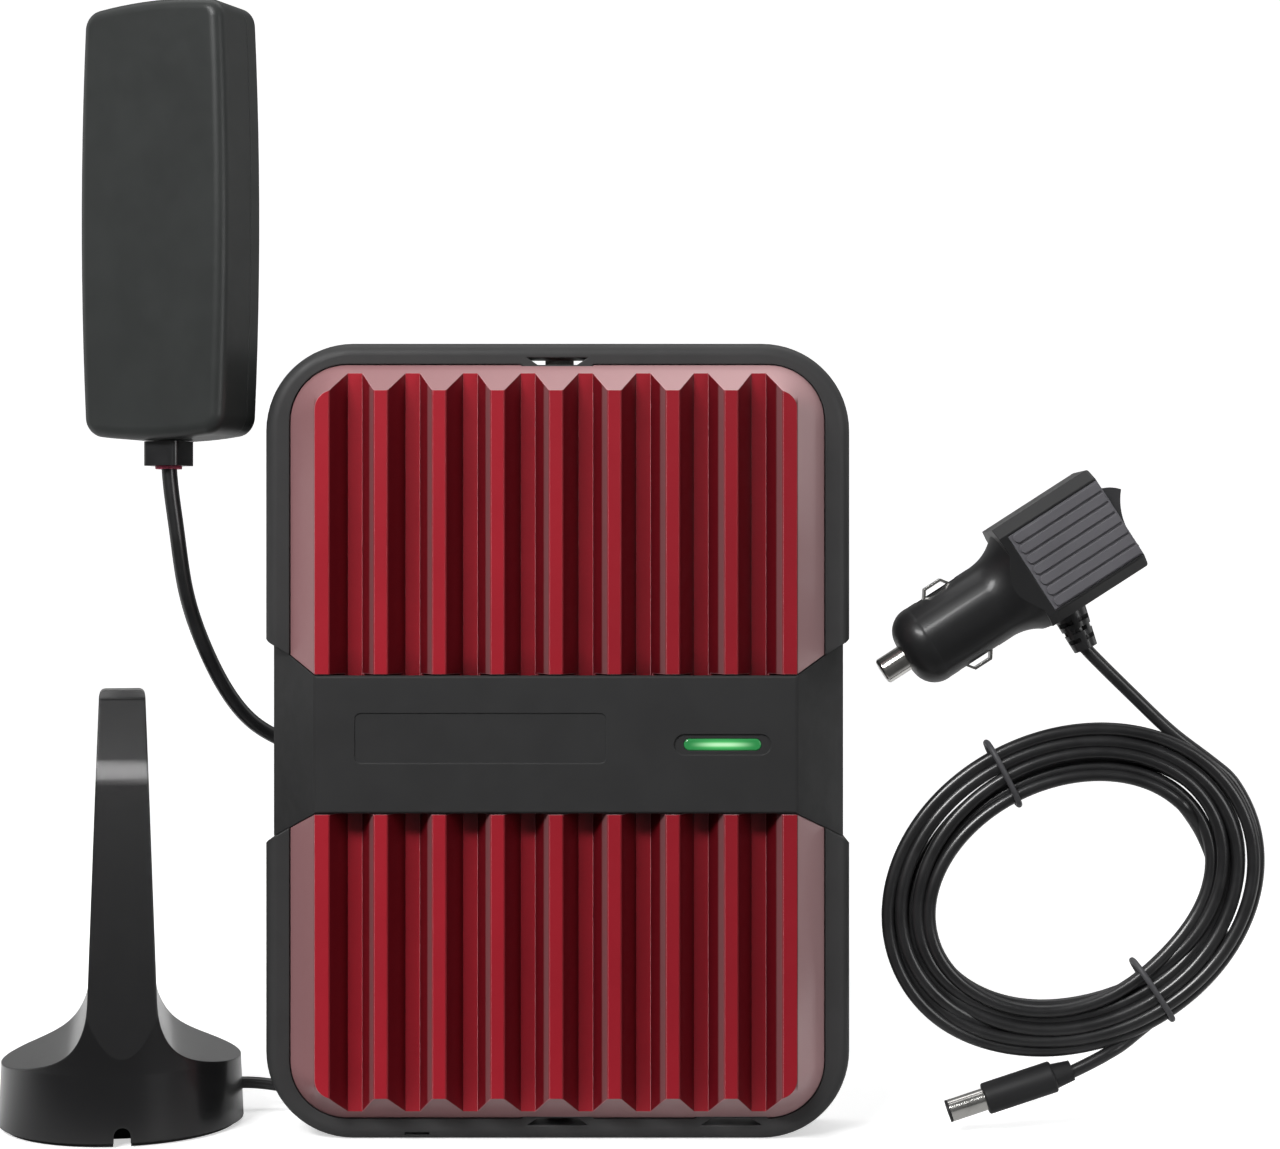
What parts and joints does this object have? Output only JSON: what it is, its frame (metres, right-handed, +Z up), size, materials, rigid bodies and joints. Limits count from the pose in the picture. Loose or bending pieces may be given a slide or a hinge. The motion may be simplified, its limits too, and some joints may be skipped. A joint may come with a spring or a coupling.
{
  "type": "cellular signal booster kit",
  "caption": "Vehicle signal booster with a finned heat sink in a bumper frame, inside and outside antennas on leads, and an accessory-plug power supply with a coiled lead.",
  "frame": {"origin": "middle of the booster's bottom edge, at its mid-depth", "axes": "+Z up, +X to the power supply's side, -Y the way the fins face"},
  "size_m": [0.3139, 0.0632, 0.2787],
  "materials": {
    "red_coat": "glossy",
    "frame_plastic": "fine textured",
    "band_plastic": "fine textured",
    "lens": "glowing translucent",
    "circuit_green": "solder-mask gloss",
    "ribbon": "satin",
    "shield_tin": "satin",
    "chip_black": "matte",
    "pad_grey": "matte",
    "filter_tan": "satin",
    "cover_metal": "black anodised",
    "black_rubber": "matte",
    "screw_steel": "satin",
    "nickel": "polished",
    "antenna_plastic": "satin",
    "mast_plastic": "satin",
    "element_copper": "satin",
    "ring_red": "satin",
    "foam_pad": "foam",
    "lead_jacket": "satin",
    "magnet_nickel": "plated",
    "supply_plastic": "glossy",
    "grip_plastic": "fine textured",
    "switch_plastic": "satin",
    "fuse_glass": "clear",
    "tie_cord": "satin",
    "insulator": "satin"
  },
  "bodies": {
    "booster": {"heat_sink": "red_coat", "bumper_frame": "frame_plastic", "centre_band": "band_plastic", "light_pipe": "lens", "status_board": "circuit_green", "status_ribbon": "ribbon", "main_board": "circuit_green", "shield_cans": "shield_tin", "power_amplifiers": "chip_black", "thermal_pads": "pad_grey", "filter_blocks": "filter_tan", "back_cover": "cover_metal", "cover_gasket": "black_rubber", "rubber_feet": "black_rubber", "cover_screws": "screw_steel", "board_screws": "screw_steel", "band_screws": "screw_steel", "inside_port_jack": "nickel", "outside_port_jack": "nickel", "power_port_jack": "insulator", "inside_front_shell": "antenna_plastic", "inside_back_shell": "antenna_plastic", "inside_element_board": "element_copper", "inside_ground_plane": "cover_metal", "inside_lead_collar": "lead_jacket", "inside_lead_ring": "ring_red", "inside_adhesive_pad": "foam_pad", "inside_lead": "lead_jacket", "inside_plug_body": "nickel", "outside_housing": "mast_plastic", "outside_base_plate": "screw_steel", "outside_base_screws": "screw_steel", "outside_magnet": "magnet_nickel", "outside_rubber_pad": "black_rubber", "outside_antenna_blade": "element_copper", "outside_lead": "lead_jacket", "outside_plug_body": "nickel"},
    "inside_nut": {"inside_plug_nut": "nickel"},
    "outside_nut": {"outside_plug_nut": "nickel"},
    "power_supply": {"supply_front_shell": "supply_plastic", "supply_back_shell": "supply_plastic", "grip_panels": "grip_plastic", "switch_body": "switch_plastic", "rocker_pin": "screw_steel", "tip_spring": "screw_steel", "fuse": "fuse_glass", "supply_board": "circuit_green", "supply_screws": "screw_steel", "strain_relief": "lead_jacket", "power_lead": "lead_jacket", "dc_plug_body": "insulator", "dc_plug_barrel": "nickel", "dc_plug_insulator": "insulator", "lead_ties": "tie_cord"},
    "rocker": {"rocker": "switch_plastic"},
    "tip": {"tip_contact": "nickel"},
    "upper_contact": {"side_contact_upper": "nickel"},
    "lower_contact": {"side_contact_lower": "nickel"}
  },
  "joints": [
    {"name": "inside_nut_turn", "type": "hinge", "parent": "booster", "child": "inside_nut", "pos_m": [0, 0.0105, 0.183], "axis": [0, 0, 1], "continuous": true},
    {"name": "outside_nut_turn", "type": "hinge", "parent": "booster", "child": "outside_nut", "pos_m": [0, 0.0105, 0.011], "axis": [0, 0, -1], "continuous": true},
    {"name": "supply_away", "type": "slide", "parent": "booster", "child": "power_supply", "axis": [1, 0, 0], "range_m": [0, 0.1]},
    {"name": "rocker_tilt", "type": "hinge", "parent": "power_supply", "child": "rocker", "pos_m": [0.13474, 0, 0.14993], "axis": [0, -1, 0], "range_deg": [0, 30]},
    {"name": "tip_travel", "type": "slide", "parent": "power_supply", "child": "tip", "axis": [0.8406, 0, 0.5417], "range_m": [0, 0.004], "stiffness_N_per_m": 600, "springref_m": -0.002, "deforming": ["tip_spring"]},
    {"name": "upper_contact_press", "type": "slide", "parent": "power_supply", "child": "upper_contact", "axis": [0.5417, 0, -0.8406], "range_m": [0, 0.0018], "stiffness_N_per_m": 2000, "springref_m": -0.0008},
    {"name": "lower_contact_press", "type": "slide", "parent": "power_supply", "child": "lower_contact", "axis": [-0.5417, 0, 0.8406], "range_m": [0, 0.0018], "stiffness_N_per_m": 2000, "springref_m": -0.0008}
  ]
}
